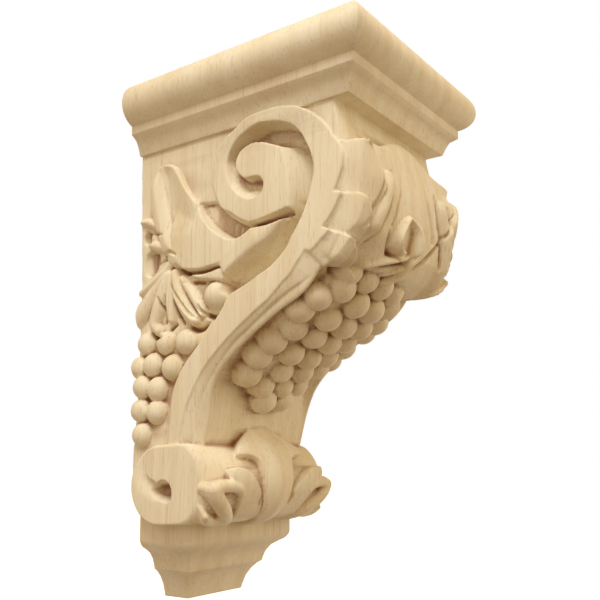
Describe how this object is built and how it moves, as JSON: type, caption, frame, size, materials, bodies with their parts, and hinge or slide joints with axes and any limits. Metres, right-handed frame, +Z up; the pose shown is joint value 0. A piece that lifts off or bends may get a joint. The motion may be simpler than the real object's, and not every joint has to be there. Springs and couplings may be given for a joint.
{
  "type": "corbel bracket",
  "caption": "Carved wooden corbel bracket with moulded cap, scrolled sides, leaf and grape carving, lower roll and stepped foot, for a shelf, mantel or countertop.",
  "frame": {"origin": "middle of the flat back face that goes against the wall, half way up the corbel", "axes": "+Z up towards the cap, +Y out of the back towards the wall, -Y towards the room, +X to the viewer's right when the viewer faces the carved front"},
  "size_m": [0.166, 0.1953, 0.356],
  "materials": {
    "hardwood": "plain unfinished, sanded"
  },
  "bodies": {
    "root": {"carved_corbel": "hardwood"}
  },
  "joints": []
}
